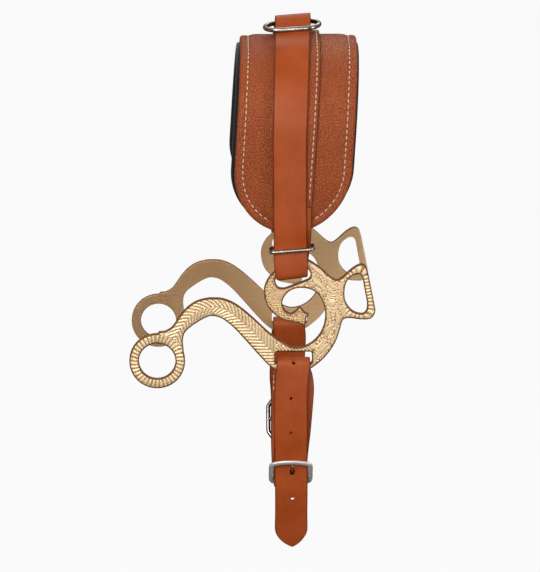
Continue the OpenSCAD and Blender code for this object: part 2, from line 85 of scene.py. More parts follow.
# Strap rows are y, z, left x, right x and any skew: a skew of k lifts a point by k times its x
WRAP = [
    (-64.6, -104, -9.5, 14.6), (-64.6, -110, -9.5, 14.6), (-64.6, -116, -9.5, 14.6),
    (-64.2, -121.5, -9.5, 14.5, 0.01), (-62.2, -127.5, -9.6, 14.4, 0.03),
    (-59.9, -134, -9.6, 14, 0.06), (-58, -141, -9.4, 13.2, 0.1), (-57.2, -147, -9.2, 12.4, 0.13),
    (-57.6, -153, -9.2, 12, 0.13), (-59.2, -155.2, -9.2, 12, 0.13), (-62, -155.6, -9.2, 12, 0.13),
    (-64.8, -155.2, -9.4, 12, 0.13), (-66.4, -153, -10.8, 12, 0.13), (-66.8, -147, -12, 12, 0.13),
    (-66.5, -140.5, -12.6, 11.8, 0.1), (-66.1, -133.5, -12.6, 11.5, 0.06),
    (-66.6, -127.5, -12.6, 11.3, 0.03), (-67.3, -121.3, -12.6, 11.2, 0.01),
    (-67.7, -115, -12.7, 11.1), (-67.8, -107, -12.8, 11),
]
CROWN = [
    (-15, 13.1, -10.6, 14.8, 0.066), (-9.5, 14.7, -10.4, 15.2, 0.075), (-4.8, 17.6, -10.3, 15.5, 0.075),
    (-1.2, 21, -10.2, 15.5, 0.077), (3.8, 22.75, -10.2, 15.5, 0.078),
    (8.9, 21.5, -10.2, 15.5, 0.077), (12.4, 18, -10.3, 15.5, 0.075), (17, 14.8, -10.6, 15, 0.06),
]
NEAR_TAIL = [
    (-50.2, -360.9, 0.8, 2), (-50.8, -358.5, -3.8, 5.8), (-51.8, -354.3, -8.2, 9.5),
    (-53.3, -348, -11.2, 12.3), (-56.1, -336, -11.3, 12.3), (-58.6, -325, -11.3, 12.3),
]
FAR_TAIL = [
    (-52.3, -344.9, 0.6, 1.8), (-52.9, -342.5, -3.9, 5.6), (-53.9, -338.3, -8.2, 9.4),
    (-55.5, -332, -11.2, 12.2), (-57.2, -326.8, -11.3, 12.2), (-59.3, -320, -11.3, 12.2),
]
NEAR_FRONT = [
    (-60.4, -316, -11.4, 12.3), (-61.2, -309, -11.6, 12.3), (-61.5, -303, -11.8, 12.2),
    (-62.4, -294.5, -11.8, 12.2), (-64.3, -284.5, -12, 12.1), (-66.3, -275, -12.2, 12),
    (-67.5, -262, -12.4, 12),
]
FAR_FRONT = [
    (-60.9, -313, -11.4, 12.2), (-62.3, -306, -11.6, 12.2), (-63.6, -299.5, -11.8, 12.2),
    (-64.1, -293.4, -11.8, 12.2), (-63.2, -286.5, -11.8, 12.2), (-62.4, -279.5, -12, 12.1),
    (-63.7, -271, -12.4, 12), (-66.2, -261, -13, 12),
]
LOWER_LOOP = [
    (-67.8, -241, -12.2, 12), (-67.5, -230, -11.6, 12.6), (-67.2, -222.5, -10.7, 13.6),
    (-66.7, -219, -10.3, 13.8), (-65.3, -217.2, -10.3, 13.8), (-62, -216.6, -10.3, 13.8),
    (-58.7, -217.2, -10.3, 13.6), (-57.3, -219, -10.3, 13.4), (-57, -222.5, -10.4, 13.6),
]
NEAR_BACK = [
    (-58.2, -229.5, -10.8, 15.8), (-60.4, -238, -11, 16.8), (-61, -247, -11.3, 16.4),
    (-60.9, -260, -11.7, 15.4), (-60, -272, -12, 14.4), (-57.5, -284, -12.2, 13.2),
    (-53.8, -295, -12.3, 12.4),
]
FAR_BACK = [
    (-58.2, -229.5, -10, 14.2), (-60.4, -238, -10, 14), (-61, -247, -10.6, 13.6),
    (-59.6, -260, -11.4, 13.2), (-57.1, -271, -12, 12.8), (-55.2, -281, -12.2, 12.6),
    (-53, -291, -12.3, 12.4), (-51, -298, -12.3, 12.4),
]
UNDER_CHIN = [
    (-48.4, -304, -12.3, 12.4), (-39.5, -311, -12.3, 12.4), (-24, -315.2, -12.3, 12.4),
    (-8, -316.2, -12.3, 12.4),
]
CHAPE_X = (-12.1, 12.1)
NEAR_CHAPE = [(-65.1, -262), (-64.2, -272), (-61.8, -284), (-59.9, -296), (-59, -304.5)]
NEAR_CHAPE_BACK = [(-54.9, -304.5), (-56.9, -296), (-59.8, -284), (-62.25, -272), (-63.1, -262)]
FAR_CHAPE = [(-63.6, -262), (-61.3, -271), (-60, -279), (-60.7, -286.5)]
FAR_CHAPE_BACK = [(-56.9, -286.5), (-57.7, -281), (-59.35, -271), (-61.6, -262)]


# ---------- small helpers ----------

def srgb(r, g, b):
    """A colour as a screen shows it, 0 to 255, as the linear colour that shaders take."""
    level = lambda c: c / 12.92 if c <= 0.04 else ((c + 0.055) / 1.055) ** 2.4
    return level(r / 255), level(g / 255), level(b / 255), 1


def smoothstep(lo, hi, x):
    t = np.clip((x - lo) / (hi - lo), 0, 1)
    return t * t * (3 - 2 * t)


def catmull(points, steps, closed=False):
    """A smooth curve through the points, with a number of steps between each two."""
    p = np.array(points, float)
    n = len(p)
    spans = n if closed else n - 1
    pick = (lambda i: p[i % n]) if closed else (lambda i: p[min(max(i, 0), n - 1)])
    out = []
    for i in range(spans):
        a, b, c, d = pick(i - 1), pick(i), pick(i + 1), pick(i + 2)
        for k in range(steps):
            t = k / steps
            out.append(0.5 * (2 * b + (c - a) * t + (2 * a - 5 * b + 4 * c - d) * t ** 2
                              + (3 * b - 3 * c + d - a) * t ** 3))
    if not closed:
        out.append(p[-1])
    return np.array(out)


def unit(v):
    return v / np.linalg.norm(v)


def units(rows):
    return rows / np.linalg.norm(rows, axis=1)[:, None]


def run_along(points):
    """The distance along a path at each of its points."""
    return np.concatenate([[0], np.cumsum(np.linalg.norm(np.diff(points, axis=0), axis=1))])


def places_of(me):
    """The points of a mesh in millimetres."""
    co = np.empty(len(me.vertices) * 3)
    me.vertices.foreach_get("co", co)
    return co.reshape(-1, 3) / MM


def band(rings, count, closed=False):
    """Faces between rings of count points each."""
    faces = []
    for i in range(rings if closed else rings - 1):
        j = (i + 1) % rings
        for k in range(count):
            n = (k + 1) % count
            faces.append((i * count + k, i * count + n, j * count + n, j * count + k))
    return faces


def end_caps(rings, count):
    return [tuple(range(count))[::-1], tuple(range((rings - 1) * count, rings * count))]


def far(rows):
    """The same strap rows on the far side."""
    return [(-r[0], *r[1:]) for r in rows]


def new_object(name, data):
    piece = bpy.data.objects.new(name, data)
    bpy.context.scene.collection.objects.link(piece)
    return piece


def mesh_piece(name, verts, faces, material=None, attributes=None, sharp=40):
    """A mesh object from points in millimetres."""
    me = bpy.data.meshes.new(name)
    me.from_pydata((np.array(verts, float) * MM).tolist(), [], faces)
    for key, values in (attributes or {}).items():
        me.attributes.new(key, "FLOAT", "POINT").data.foreach_set("value", np.array(values, np.float32))
    me.validate()
    piece = new_object(name, me)
    smooth(piece, sharp)
    if material:
        me.materials.append(material)
    return piece


def smooth(piece, sharp=40):
    piece.data.shade_smooth()
    if sharp:
        piece.data.set_sharp_from_angle(angle=math.radians(sharp))


def settle(piece, body, slot, *nodes, pad=None):
    """Puts a piece on its body and hides the CAD nodes that it stands for. Its finish name, slot, is not
    used.
    """
    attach(piece, body)
    if nodes:
        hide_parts(*nodes)


def apply_modifiers(piece):
    """Bakes the modifiers of a piece into its mesh."""
    dg = bpy.context.evaluated_depsgraph_get()
    baked = bpy.data.meshes.new_from_object(piece.evaluated_get(dg))
    piece.modifiers.clear()
    piece.data = baked


def weld(me, normals=False):
    """Merges the points of a mesh that share a place."""
    bm = bmesh.new()
    bm.from_mesh(me)
    bmesh.ops.remove_doubles(bm, verts=bm.verts, dist=1e-6)
    if normals:
        bmesh.ops.recalc_face_normals(bm, faces=bm.faces)
    bm.to_mesh(me)
    bm.free()


def cut(piece, cutters):
    """Takes the cutters out of a piece and removes them."""
    for c in cutters:
        m = piece.modifiers.new("cut", "BOOLEAN")
        m.operation, m.solver, m.object = "DIFFERENCE", "EXACT", c
    apply_modifiers(piece)
    for c in cutters:
        bpy.data.objects.remove(c)


def rod(a, b, r, sides=24):
    """A plain cylinder from a to b, used as a cutter."""
    a, b = Vector(a), Vector(b)
    turn = (b - a).to_track_quat("Z", "Y").to_matrix()
    angles = np.linspace(0, 2 * PI, sides, False)
    ring = [turn @ Vector((r * math.cos(t), r * math.sin(t), 0)) for t in angles]
    verts = [a + p for p in ring] + [b + p for p in ring]
    return mesh_piece("cutter", verts, band(2, sides) + end_caps(2, sides))


# ---------- swept shapes ----------

def strap(name, rows, t, material, edge_r=0.9, steps=6):
    """A flat strap with rounded edges along rows of y, z, left x, right x and any skew."""
    r = catmull([(*row, 0)[:5] for row in rows], steps)
    along = units(np.gradient(r[:, :2], axis=0))
    travelled = run_along(r[:, :2])
    verts, edge, run = [], [], []
    arc = [math.radians(a) for a in (0, 22.5, 45, 67.5, 90)]
    flat = (0.7, 0.35, 0, -0.35, -0.7)
    for i, (y, z, xl, xr, skew) in enumerate(r):
        hw, mid = (xr - xl) / 2, (xl + xr) / 2
        er = min(edge_r, hw * 0.9, t / 2)
        inner, rise = hw - er, t / 2 - er
        half = [(inner + er * math.cos(a), rise + er * math.sin(a), 1 - a / PI) for a in arc]
        top = half + [(inner * f, t / 2, 0) for f in flat] + [(-u, v, e) for u, v, e in half[::-1]]
        ring = top + [(-u, -v, e) for u, v, e in top]
        for u, v, e in ring:
            x = mid + u
            verts.append((x, y - along[i, 1] * v, z + along[i, 0] * v + skew * x))
            edge.append(e)
            run.append(travelled[i])
    faces = [(f[0], *f[:0:-1]) for f in band(len(r), len(ring))]
    faces += [f[::-1] for f in end_caps(len(r), len(ring))]
    return mesh_piece(name, verts, faces, material, {"edge": edge, "run": run})


def tube(name, path, material, across=1.6, deep=None, sides=16, closed=True, up=(0, 0, 1), ends=None):
    """A bar of round or oval section along the path. up is the way that deep is measured."""
    path = np.array(path, float)
    deep = deep or across
    n = len(path)
    up = np.array(up, float)
    verts = []
    for i in range(n):
        before = path[(i - 1) % n if closed else max(i - 1, 0)]
        after = path[(i + 1) % n if closed else min(i + 1, n - 1)]
        go = unit(after - before)
        side = unit(np.cross(go, up))
        lift = np.cross(side, go)
        k = 1 if ends is None else ends[i]
        for a in np.linspace(0, 2 * PI, sides, False):
            verts.append(path[i] + k * (side * across * math.cos(a) + lift * deep * math.sin(a)))
    faces = band(n, sides, closed) + ([] if closed else end_caps(n, sides))
    return mesh_piece(name, verts, faces, material, sharp=0)


def rounded_path(corners, radius, steps=6):
    """A closed flat path through the corners, each rounded with its own radius."""
    out = []
    n = len(corners)
    for i in range(n):
        p, q, r = (np.array(corners[(i + k) % n], float) for k in (-1, 0, 1))
        rad = radius[i] if hasattr(radius, "__len__") else radius
        a, b = unit(p - q), unit(r - q)
        for k in range(steps + 1):
            t = k / steps
            out.append(q + a * rad * (1 - t) ** 2 + b * rad * t ** 2)
    return np.array(out)


def refine(path, step, closed=True):
    """The same path with points no further apart than step."""
    out = []
    n = len(path)
    for i in range(n if closed else n - 1):
        a, b = path[i], path[(i + 1) % n]
        parts = max(1, math.ceil(np.linalg.norm(b - a) / step))
        out += [a + (b - a) * k / parts for k in range(parts)]
    if not closed:
        out.append(path[-1])
    return np.array(out)


# ---------- materials ----------

class Nodes:
    """Short calls for building a shader."""

    def __init__(self, name):
        self.mat = bpy.data.materials.new(name)
        self.mat.use_nodes = True
        self.tree = self.mat.node_tree
        self.bsdf = self.tree.nodes["Principled BSDF"]
        self.place = self.add("ShaderNodeTexCoord").outputs["Object"]

    def add(self, kind, inputs=None, **props):
        node = self.tree.nodes.new(kind)
        for key, value in props.items():
            setattr(node, key, value)
        for key, value in (inputs or {}).items():
            self.give(node.inputs[key], value)
        return node

    def give(self, socket, value):
        if isinstance(value, bpy.types.NodeSocket):
            self.tree.links.new(value, socket)
        else:
            socket.default_value = value

    def noise(self, scale, detail=3, rough=0.5, place=None):
        inputs = {"Vector": place or self.place, "Scale": scale, "Detail": detail, "Roughness": rough}
        return self.add("ShaderNodeTexNoise", inputs).outputs["Fac"]

    def stretch(self, x, y, z):
        return self.add("ShaderNodeMapping", {"Vector": self.place, "Scale": (x, y, z)}).outputs["Vector"]

    def cells(self, scale, feature="F1", randomness=1.0, place=None):
        inputs = {"Vector": place or self.place, "Scale": scale, "Randomness": randomness}
        return self.add("ShaderNodeTexVoronoi", inputs, feature=feature).outputs["Distance"]

    def math(self, kind, a, b):
        node = self.add("ShaderNodeMath", operation=kind)
        self.give(node.inputs[0], a)
        self.give(node.inputs[1], b)
        return node.outputs[0]

    def remap(self, value, lo, hi, to_lo=0.0, to_hi=1.0):
        inputs = {"Value": value, "From Min": lo, "From Max": hi, "To Min": to_lo, "To Max": to_hi}
        return self.add("ShaderNodeMapRange", inputs).outputs["Result"]

    def mix(self, amount, a, b):
        node = self.add("ShaderNodeMix", data_type="RGBA")
        self.give(node.inputs[0], amount)
        self.give(node.inputs[6], a)
        self.give(node.inputs[7], b)
        return node.outputs[2]

    def drift(self, value, a, b):
        """A colour that wanders from a to b, each 0 to 255, as the noise does."""
        return self.mix(self.remap(value, 0.3, 0.7), srgb(*a), srgb(*b))

    def ramp(self, value, *stops):
        node = self.add("ShaderNodeValToRGB", {"Fac": value})
        el = node.color_ramp.elements
        while len(el) < len(stops):
            el.new(0.5)
        for e, (at, colour) in zip(el, stops):
            e.position, e.color = at, colour
        return node.outputs["Color"]

    def attribute(self, name):
        return self.add("ShaderNodeAttribute", attribute_name=name).outputs["Fac"]

    def bump(self, height, distance, strength=1.0, normal=None):
        inputs = {"Height": height, "Distance": distance, "Strength": strength}
        if normal is not None:
            inputs["Normal"] = normal
        return self.add("ShaderNodeBump", inputs).outputs["Normal"]

    def finish(self, **inputs):
        for key, value in inputs.items():
            self.give(self.bsdf.inputs[key.replace("_", " ")], value)
        return self.mat


def strap_leather():
    """Smooth dyed strap leather: fine pores, a soft mottle, darker painted edges."""
    n = Nodes("strap_leather")
    mottle = n.noise(45, 4, 0.6)
    pull = n.noise(1.0, 3, 0.6, n.stretch(900, 900, 130))
    face = n.drift(mottle, (160, 68, 22), (176, 82, 34))
    face = n.mix(n.remap(pull, 0.35, 0.75, 0.0, 0.35), face, srgb(148, 58, 18))
    edge = n.remap(n.attribute("edge"), 0.45, 0.75)
    colour = n.mix(n.math("MULTIPLY", edge, 0.8), face, srgb(96, 40, 20))
    pores = n.remap(n.cells(1500), 0.0, 0.5)
    creases = n.noise(420, 5, 0.65)
    height = n.math("ADD", n.math("MULTIPLY", pores, 0.35), n.math("MULTIPLY", creases, 0.65))
    return n.finish(
        Base_Color=colour, Roughness=n.remap(mottle, 0.25, 0.75, 0.40, 0.50), Specular_IOR_Level=0.22,
        Coat_Weight=0.04, Coat_Roughness=0.3, Normal=n.bump(height, 0.00009, 0.5))


def grained_leather():
    """Pebbled upholstery leather: rounded cells, their tops lightened as painted highlight and the creases
    between them darkened as painted shade.
    """
    n = Nodes("grained_leather")
    warp = n.add("ShaderNodeVectorMath", operation="MULTIPLY_ADD")
    wobble = n.add("ShaderNodeTexNoise", {"Vector": n.place, "Scale": 380, "Detail": 2}).outputs["Color"]
    n.give(warp.inputs[0], wobble)
    n.give(warp.inputs[1], (0.0012, 0.0012, 0.0012))
    n.give(warp.inputs[2], n.place)
    pebble = n.cells(760, "SMOOTH_F1", 0.95, warp.outputs[0])
    crease = n.cells(760, "DISTANCE_TO_EDGE", 0.95, warp.outputs[0])
    mottle = n.noise(38, 4, 0.6)
    face = n.drift(mottle, (168, 76, 34), (182, 90, 44))
    # Painted highlight: the tops of the pebbles are lightened.
    face = n.mix(n.remap(pebble, 0.1, 0.5, 0.35, 0.0), face, srgb(206, 124, 76))
    # Painted shade: the creases between the pebbles are darkened.
    face = n.mix(n.remap(crease, 0.0, 0.16, 0.42, 0.0), face, srgb(104, 42, 16))
    edge = n.remap(n.attribute("edge"), 0.4, 0.8)
    colour = n.mix(n.math("MULTIPLY", edge, 0.75), face, srgb(104, 48, 26))
    dome = n.math("SUBTRACT", 1.0, pebble)
    height = n.math("ADD", n.math("MULTIPLY", dome, 0.5), n.remap(crease, 0.0, 0.18, 0.0, 0.5))
    return n.finish(
        Base_Color=colour, Roughness=n.remap(crease, 0.0, 0.2, 0.62, 0.42), Specular_IOR_Level=0.3,
        Coat_Weight=0.02, Coat_Roughness=0.4, Normal=n.bump(height, 0.0007, 1.0))


def neoprene():
    n = Nodes("neoprene")
    knit = n.cells(1300, "F1", 0.4)
    shade = n.noise(60, 3)
    return n.finish(
        Base_Color=n.drift(shade, (20, 20, 22), (34, 34, 37)),
        Roughness=0.85, Specular_IOR_Level=0.2, Sheen_Weight=0.25, Sheen_Roughness=0.5,
        Normal=n.bump(knit, 0.00015, 0.6))


def foam():
    n = Nodes("foam")
    cell = n.cells(900)
    return n.finish(
        Base_Color=n.mix(n.remap(cell, 0.0, 0.6), srgb(170, 168, 158), srgb(226, 224, 214)),
        Roughness=0.95, Normal=n.bump(cell, 0.0004, 0.8))


def brass_outside():
    """Cast and antiqued brass: bright worn ridges whose palest cream is partly painted highlight, brown
    patina left in the recesses.
    """
    n = Nodes("brass_relief")
    height = n.attribute("relief")
    stain = n.noise(160, 4, 0.6)
    level = n.math("ADD", height, n.remap(stain, 0.3, 0.7, -0.07, 0.07))
    # Brown patina in the recesses up to pale cream on the peaks; the palest cream stands for both worn
    # brass and painted highlight.
    colour = n.ramp(level, (0.0, srgb(92, 56, 30)), (0.2, srgb(146, 100, 60)), (0.42, srgb(206, 164, 114)),
                    (0.68, srgb(238, 204, 156)), (1.0, srgb(252, 226, 182)))
    grit = n.noise(2600, 3, 0.6)
    return n.finish(
        Base_Color=colour, Metallic=n.remap(level, 0.1, 0.6, 0.15, 0.5),
        Roughness=n.remap(level, 0.1, 0.8, 0.6, 0.36), Normal=n.bump(grit, 0.00004, 0.4))


def brass_inside():
    """The plain back of a cheek: satin brass, brushed along its length, with painted shade darkening it
    towards the shank end.
    """
    n = Nodes("brass_brushed")
    lines = n.noise(1.0, 3, 0.7, n.stretch(70, 900, 2600))
    broad = n.noise(22, 3)
    colour = n.drift(broad, (224, 182, 130), (236, 196, 146))
    colour = n.mix(n.remap(lines, 0.3, 0.7, 0.0, 0.3), colour, srgb(160, 118, 74))
    # Painted shade: the colour darkens towards lower x, the shank and ring end.
    along = n.add("ShaderNodeSeparateXYZ", {"Vector": n.place}).outputs["X"]
    colour = n.mix(n.remap(along, -0.05, 0.01, 0.55, 0.0), colour, srgb(128, 84, 48))
    return n.finish(
        Base_Color=colour, Metallic=0.45, Roughness=n.remap(lines, 0.3, 0.7, 0.36, 0.5),
        Normal=n.bump(lines, 0.00003, 0.5))


def nickel():
    n = Nodes("nickel")
    smear = n.noise(90, 3)
    scratch = n.noise(1.0, 2, 0.5, n.stretch(3000, 400, 400))
    return n.finish(
        Base_Color=n.drift(smear, (150, 144, 136), (184, 178, 170)),
        Metallic=1.0, Roughness=n.remap(smear, 0.3, 0.7, 0.16, 0.28), Normal=n.bump(scratch, 0.00001, 0.4))


def satin_nickel():
    """The near buckle's finish: pale and brushed along its sides. It is paler than the far buckle's nickel
    as painted light, with the near buckle lit and the far one in shade.
    """
    n = Nodes("nickel_satin_lit")
    lines = n.noise(1.0, 3, 0.6, n.stretch(2600, 900, 120))
    return n.finish(
        Base_Color=n.drift(lines, (206, 199, 190), (230, 224, 216)),
        Metallic=0.55, Roughness=n.remap(lines, 0.3, 0.7, 0.32, 0.46), Normal=n.bump(lines, 0.00003, 0.5))


def thread():
    n = Nodes("thread")
    inputs = {"Vector": n.place, "Scale": 900, "Distortion": 1.5, "Detail": 1}
    twist = n.add("ShaderNodeTexWave", inputs, bands_direction="DIAGONAL").outputs["Fac"]
    return n.finish(
        Base_Color=n.mix(n.remap(twist, 0.2, 0.8), srgb(190, 166, 138), srgb(232, 216, 194)),
        Roughness=0.7, Sheen_Weight=0.2, Normal=n.bump(twist, 0.00008, 0.6))


STRAP_LEATHER, GRAINED_LEATHER, NEOPRENE, FOAM = strap_leather(), grained_leather(), neoprene(), foam()
BRASS_OUT, BRASS_IN, NICKEL, THREAD = brass_outside(), brass_inside(), nickel(), thread()
LIT_SATIN_NICKEL = satin_nickel()


# ---------- cheek plates ----------

SHANK_LINE = [(-84, -202), (-80, -194), (-74.5, -186), (-67.3, -180.5), (-59, -177.5), (-50.2, -178.2),
              (-41.4, -183), (-32.4, -191), (-20.5, -203.5), (-12.5, -211.5), (-7, -217)]
# Leaves of the scrollwork: root, tip, sideways bend and half width
LEAVES = [
    ((13.5, -146.5), (25.5, -158.5), 1.6, 2.0), ((13.5, -151.5), (22.5, -161.8), -1.2, 1.7),
    ((15.5, -158.5), (26, -167), 1.5, 1.7), ((26.5, -158), (35.5, -164.5), -1.5, 1.6),
    ((37, -159.5), (33, -167.5), 1.0, 1.3), ((38, -172.5), (35.5, -183), 1.2, 1.6),
    ((26.5, -179), (28.5, -190), -1.0, 1.5), ((32.5, -180.5), (31.5, -193), 1.8, 1.9),
    ((30.5, -190), (24.5, -202), -1.6, 2.0), ((33.5, -192), (28, -205), 1.6, 1.5),
    ((25.5, -200), (16, -208.5), 1.6, 1.9), ((26.8, -205), (18.5, -215.5), -1.4, 1.7),
    ((20, -209.5), (13.8, -217.5), 1.2, 1.5), ((17, -214.5), (12.2, -222.5), -0.8, 1.3),
    ((17.5, -205), (12.5, -209.5), 0.6, 1.1),
]
ROSETTE, ROSETTE_R = (30.2, -174.4), 5.4
HOOK_C, EYE_C = (-0.4, -167.6), (46.8, -168.0)
RECESS, PEAK = -0.5, 0.3
VOXEL = 0.3


def face_loops(node, face_y):
    """The edges of a node's flat face at face_y, as closed loops of x and z in millimetres."""
    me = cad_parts[node].data
    co = places_of(me)
    flat = np.abs(co[:, 1] - face_y) < 0.02
    key = {i: tuple(np.round(co[i, [0, 2]], 3)) for i in np.nonzero(flat)[0]}
    once = {}
    for poly in me.polygons:
        if all(flat[v] for v in poly.vertices):
            vs = [key[v] for v in poly.vertices]
            for a, b in zip(vs, vs[1:] + vs[:1]):
                if (b, a) in once:
                    del once[(b, a)]
                else:
                    once[(a, b)] = True
    step = {a: b for a, b in once}
    loops = []
    while step:
        start, at = next(iter(step.items()))
        loop = [start]
        del step[start]
        while at != start and at in step:
            loop.append(at)
            at = step.pop(at)
        loops.append(np.array(loop))
    return sorted(loops, key=len, reverse=True)


def tree_of(points):
    tree = KDTree(len(points))
    for i, p in enumerate(points):
        tree.insert((p[0], p[1], 0), i)
    tree.balance()
    return tree


def nearest(tree, x, z):
    found = [tree.find((a, b, 0)) for a, b in zip(x, z)]
    return np.array([f[1] for f in found]), np.array([f[2] for f in found])


def ridge(phase, sharp=3.0):
    """Rounded ridges with narrow valleys, one for each whole turn of phase."""
    v = np.abs((phase % 1) - 0.5) * 2
    return 1 - v ** sharp


def leaf(x, z, root, tip, bend, half_w):
    """Height of one carved leaf: a rounded blade with a middle vein and slanting side veins."""
    a, b = np.array(root), np.array(tip)
    go = b - a
    length = np.linalg.norm(go)
    go /= length
    side = np.array([-go[1], go[0]])
    u = ((x - a[0]) * go[0] + (z - a[1]) * go[1]) / length
    v = (x - a[0]) * side[0] + (z - a[1]) * side[1] - bend * 4 * u * (1 - u)
    uc = np.clip(u, 0, 1)
    width = half_w * np.sin(PI * uc ** 0.8) ** 0.75 + 1e-6
    across = np.clip(1 - np.abs(v) / width, 0, 1) * ((u > 0) & (u < 1))
    blade = np.sqrt(across) * 0.9
    vein = np.exp(-(v / 0.26) ** 2) * 0.45
    ribs = 0.16 * np.cos(2 * PI * (u * length + np.abs(v) * 1.3) / 1.5)
    return np.where(across > 0, np.clip(blade - vein + ribs * across, 0.05, 1), 0)


def rosette(x, z):
    """A round boss with one and a half turns of scroll round it."""
    dx, dz = x - ROSETTE[0], z - ROSETTE[1]
    r, turn = np.hypot(dx + 0.8, dz), np.arctan2(dz, dx)
    boss = np.sqrt(np.clip(1 - (r / 3.0) ** 2, 0, 1))
    r = np.hypot(dx, dz)
    spiral = (r - 3.3 - 0.9 * (turn + PI) / (2 * PI)) / 1.35
    off_line = np.abs(spiral - np.round(np.clip(spiral, 0, 1))) * 2.6
    scroll = np.clip(1 - off_line ** 2, 0, 1) * (r < ROSETTE_R + 0.6)
    return np.maximum(boss, scroll * 0.85)


def stipple(x, z, pitch=1.1):
    """Small punched beads on a jittered grid."""
    rng = np.random.default_rng(7)
    gx, gz = np.meshgrid(np.arange(x.min(), x.max(), pitch), np.arange(z.min(), z.max(), pitch))
    beads = np.column_stack([gx.ravel(), gz.ravel()]) + rng.uniform(-0.32, 0.32, (gx.size, 2)) * pitch
    gap = nearest(tree_of(beads), x, z)[1]
    return np.clip(1 - (gap / 0.5) ** 2, 0, 1)


def engraved(x, z, scrolls, beads):
    """The crescent's ground of small curling strokes, with the carved leaves outlined over it."""
    turn = np.hypot(x + 0.6, z + 175)
    swirl = np.sin(1.9 * x + 1.6 * np.sin(0.9 * z + 0.8))
    swirl += np.sin(1.7 * z + 1.8 * np.sin(0.8 * x) + 0.35 * turn)
    strokes = np.exp(-(swirl / 0.34) ** 2)
    ground = 0.78 - 0.74 * strokes + 0.2 * beads
    rim = np.exp(-((scrolls - 0.12) / 0.12) ** 2) * (scrolls > 0.01)
    return np.where(scrolls > 0.02, 0.55 + 0.45 * scrolls - 0.62 * rim, ground)


def relief_height(x, z, loops):
    """Height of the cast ornament over the face, in millimetres, at each x and z."""
    edge = np.vstack([refine(loop, 0.12) for loop in loops])
    depth = nearest(tree_of(edge), x, z)[1]
    inside = smoothstep(0.45, 1.15, depth)

    ring_r = np.hypot(x - RING_C[0], z - RING_C[1])
    ring_turn = np.arctan2(z - RING_C[1], x - RING_C[0])
    ring = ridge(38 * ring_turn / (2 * PI) + (ring_r - 16.6) * 0.035)

    line = catmull(SHANK_LINE, 24)
    run = run_along(line)
    at, gap = nearest(tree_of(line), x, z)
    braid = ridge((run[at] + gap) / 3.2, 3.5) * (0.86 + 0.14 * smoothstep(0, 0.5, gap))

    rope = ridge((x + (z + 209) * 0.8) / 2.45, 2.5)

    eye_loop = min(loops[1:], key=lambda p: np.hypot(*(p.mean(0) - EYE_C)))
    eye_line = refine(eye_loop, 0.15)
    eye_run = run_along(eye_line)
    turns = round(eye_run[-1] / 2.4)
    eye_at, eye_gap = nearest(tree_of(eye_line), x, z)
    eye = ridge(eye_run[eye_at] / eye_run[-1] * turns + eye_gap * 0.02)

    hook_r, hook_turn = np.hypot(x - HOOK_C[0], z - HOOK_C[1]), np.arctan2(z - HOOK_C[1], x - HOOK_C[0])
    feather = ridge((hook_turn * 15 + hook_r * 1.15) / 2.3, 2.2)

    beads = stipple(x, z)
    scrolls = np.max([leaf(x, z, *one) for one in LEAVES], axis=0)
    scrolls = np.maximum(scrolls, rosette(x, z))
    floral = engraved(x, z, scrolls, beads)
    hook = np.where(hook_r > 13.5, 0.24 + 0.76 * beads, 0.2 + 0.8 * feather * (0.45 + 0.55 * beads))

    kind = floral
    on_hook = smoothstep(14.5, 12.5, x) * (z > -193) * ((x < 1) | (hook_r > 13.8) | (z < -176))
    kind = kind + (hook - kind) * on_hook
    on_rope = (x > -11.5) & (x < 15.2) & (z < -206.4) & (z > -211)
    kind = np.where(on_rope, rope, kind)
    kind = kind + (eye - kind) * smoothstep(38.6, 40.4, x)
    on_shank = ((x < -19.8) | ((z < -196) & (x < -10.8))) & (ring_r > RING_OUT_R)
    kind = np.where(on_shank, braid, kind)
    kind = np.where(ring_r <= RING_OUT_R, ring, kind)

    crown = 0.12 * smoothstep(0.5, 3.5, depth)
    bevel = 0.35 * np.clip(1 - depth / 0.4, 0, 1) ** 2
    return RECESS + (PEAK - RECESS - 0.12) * kind * inside + crown - bevel


def remeshed(node, voxel):
    """Points and faces of a node as an even mesh of small squares, in millimetres."""
    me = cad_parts[node].data.copy()
    weld(me)
    piece = new_object("remesh", me)
    m = piece.modifiers.new("voxels", "REMESH")
    m.mode, m.voxel_size, m.adaptivity = "VOXEL", voxel * MM, 0
    apply_modifiers(piece)
    points, faces = places_of(piece.data), [tuple(p.vertices) for p in piece.data.polygons]
    bpy.data.objects.remove(piece)
    return points, faces


def cheek_plates():
    """Both cheeks: the near one is carved, and the far one is its mirror image."""
    outer_y = -PLATE_Y - PLATE_T / 2
    loops = face_loops("near_cheek_plate", outer_y)
    verts, faces = remeshed("near_cheek_plate", VOXEL)
    relief = np.full(len(verts), 0.16)
    front = np.nonzero(verts[:, 1] < outer_y + VOXEL * 0.5)[0]
    height = relief_height(verts[front, 0], verts[front, 2], loops)
    verts[front, 1] = outer_y - height
    relief[front] = np.clip((height - RECESS) / (PEAK - RECESS), 0, 1)
    for side, name in ((1, "near"), (-1, "far")):
        v = verts * (1, side, 1)
        f = faces if side > 0 else [face[::-1] for face in faces]
        piece = mesh_piece(name + "_cheek", v, f, BRASS_OUT, {"relief": relief}, sharp=0)
        piece.data.materials.append(BRASS_IN)
        inner_y = side * (-PLATE_Y + PLATE_T / 2) * MM
        for poly in piece.data.polygons:
            if poly.normal.y * side > 0.6 and abs(poly.center.y - inner_y) < 0.6 * MM:
                poly.material_index = 1
        settle(piece, name + "_cheek", "brass", name + "_cheek_plate")


cheek_plates()


# ---------- straps ----------

def both(near_rows, far_rows, middle=()):
    """Rows from the near side over to the far side, with the rows in the middle between them."""
    return [*near_rows, *middle, *far(far_rows)[::-1]]


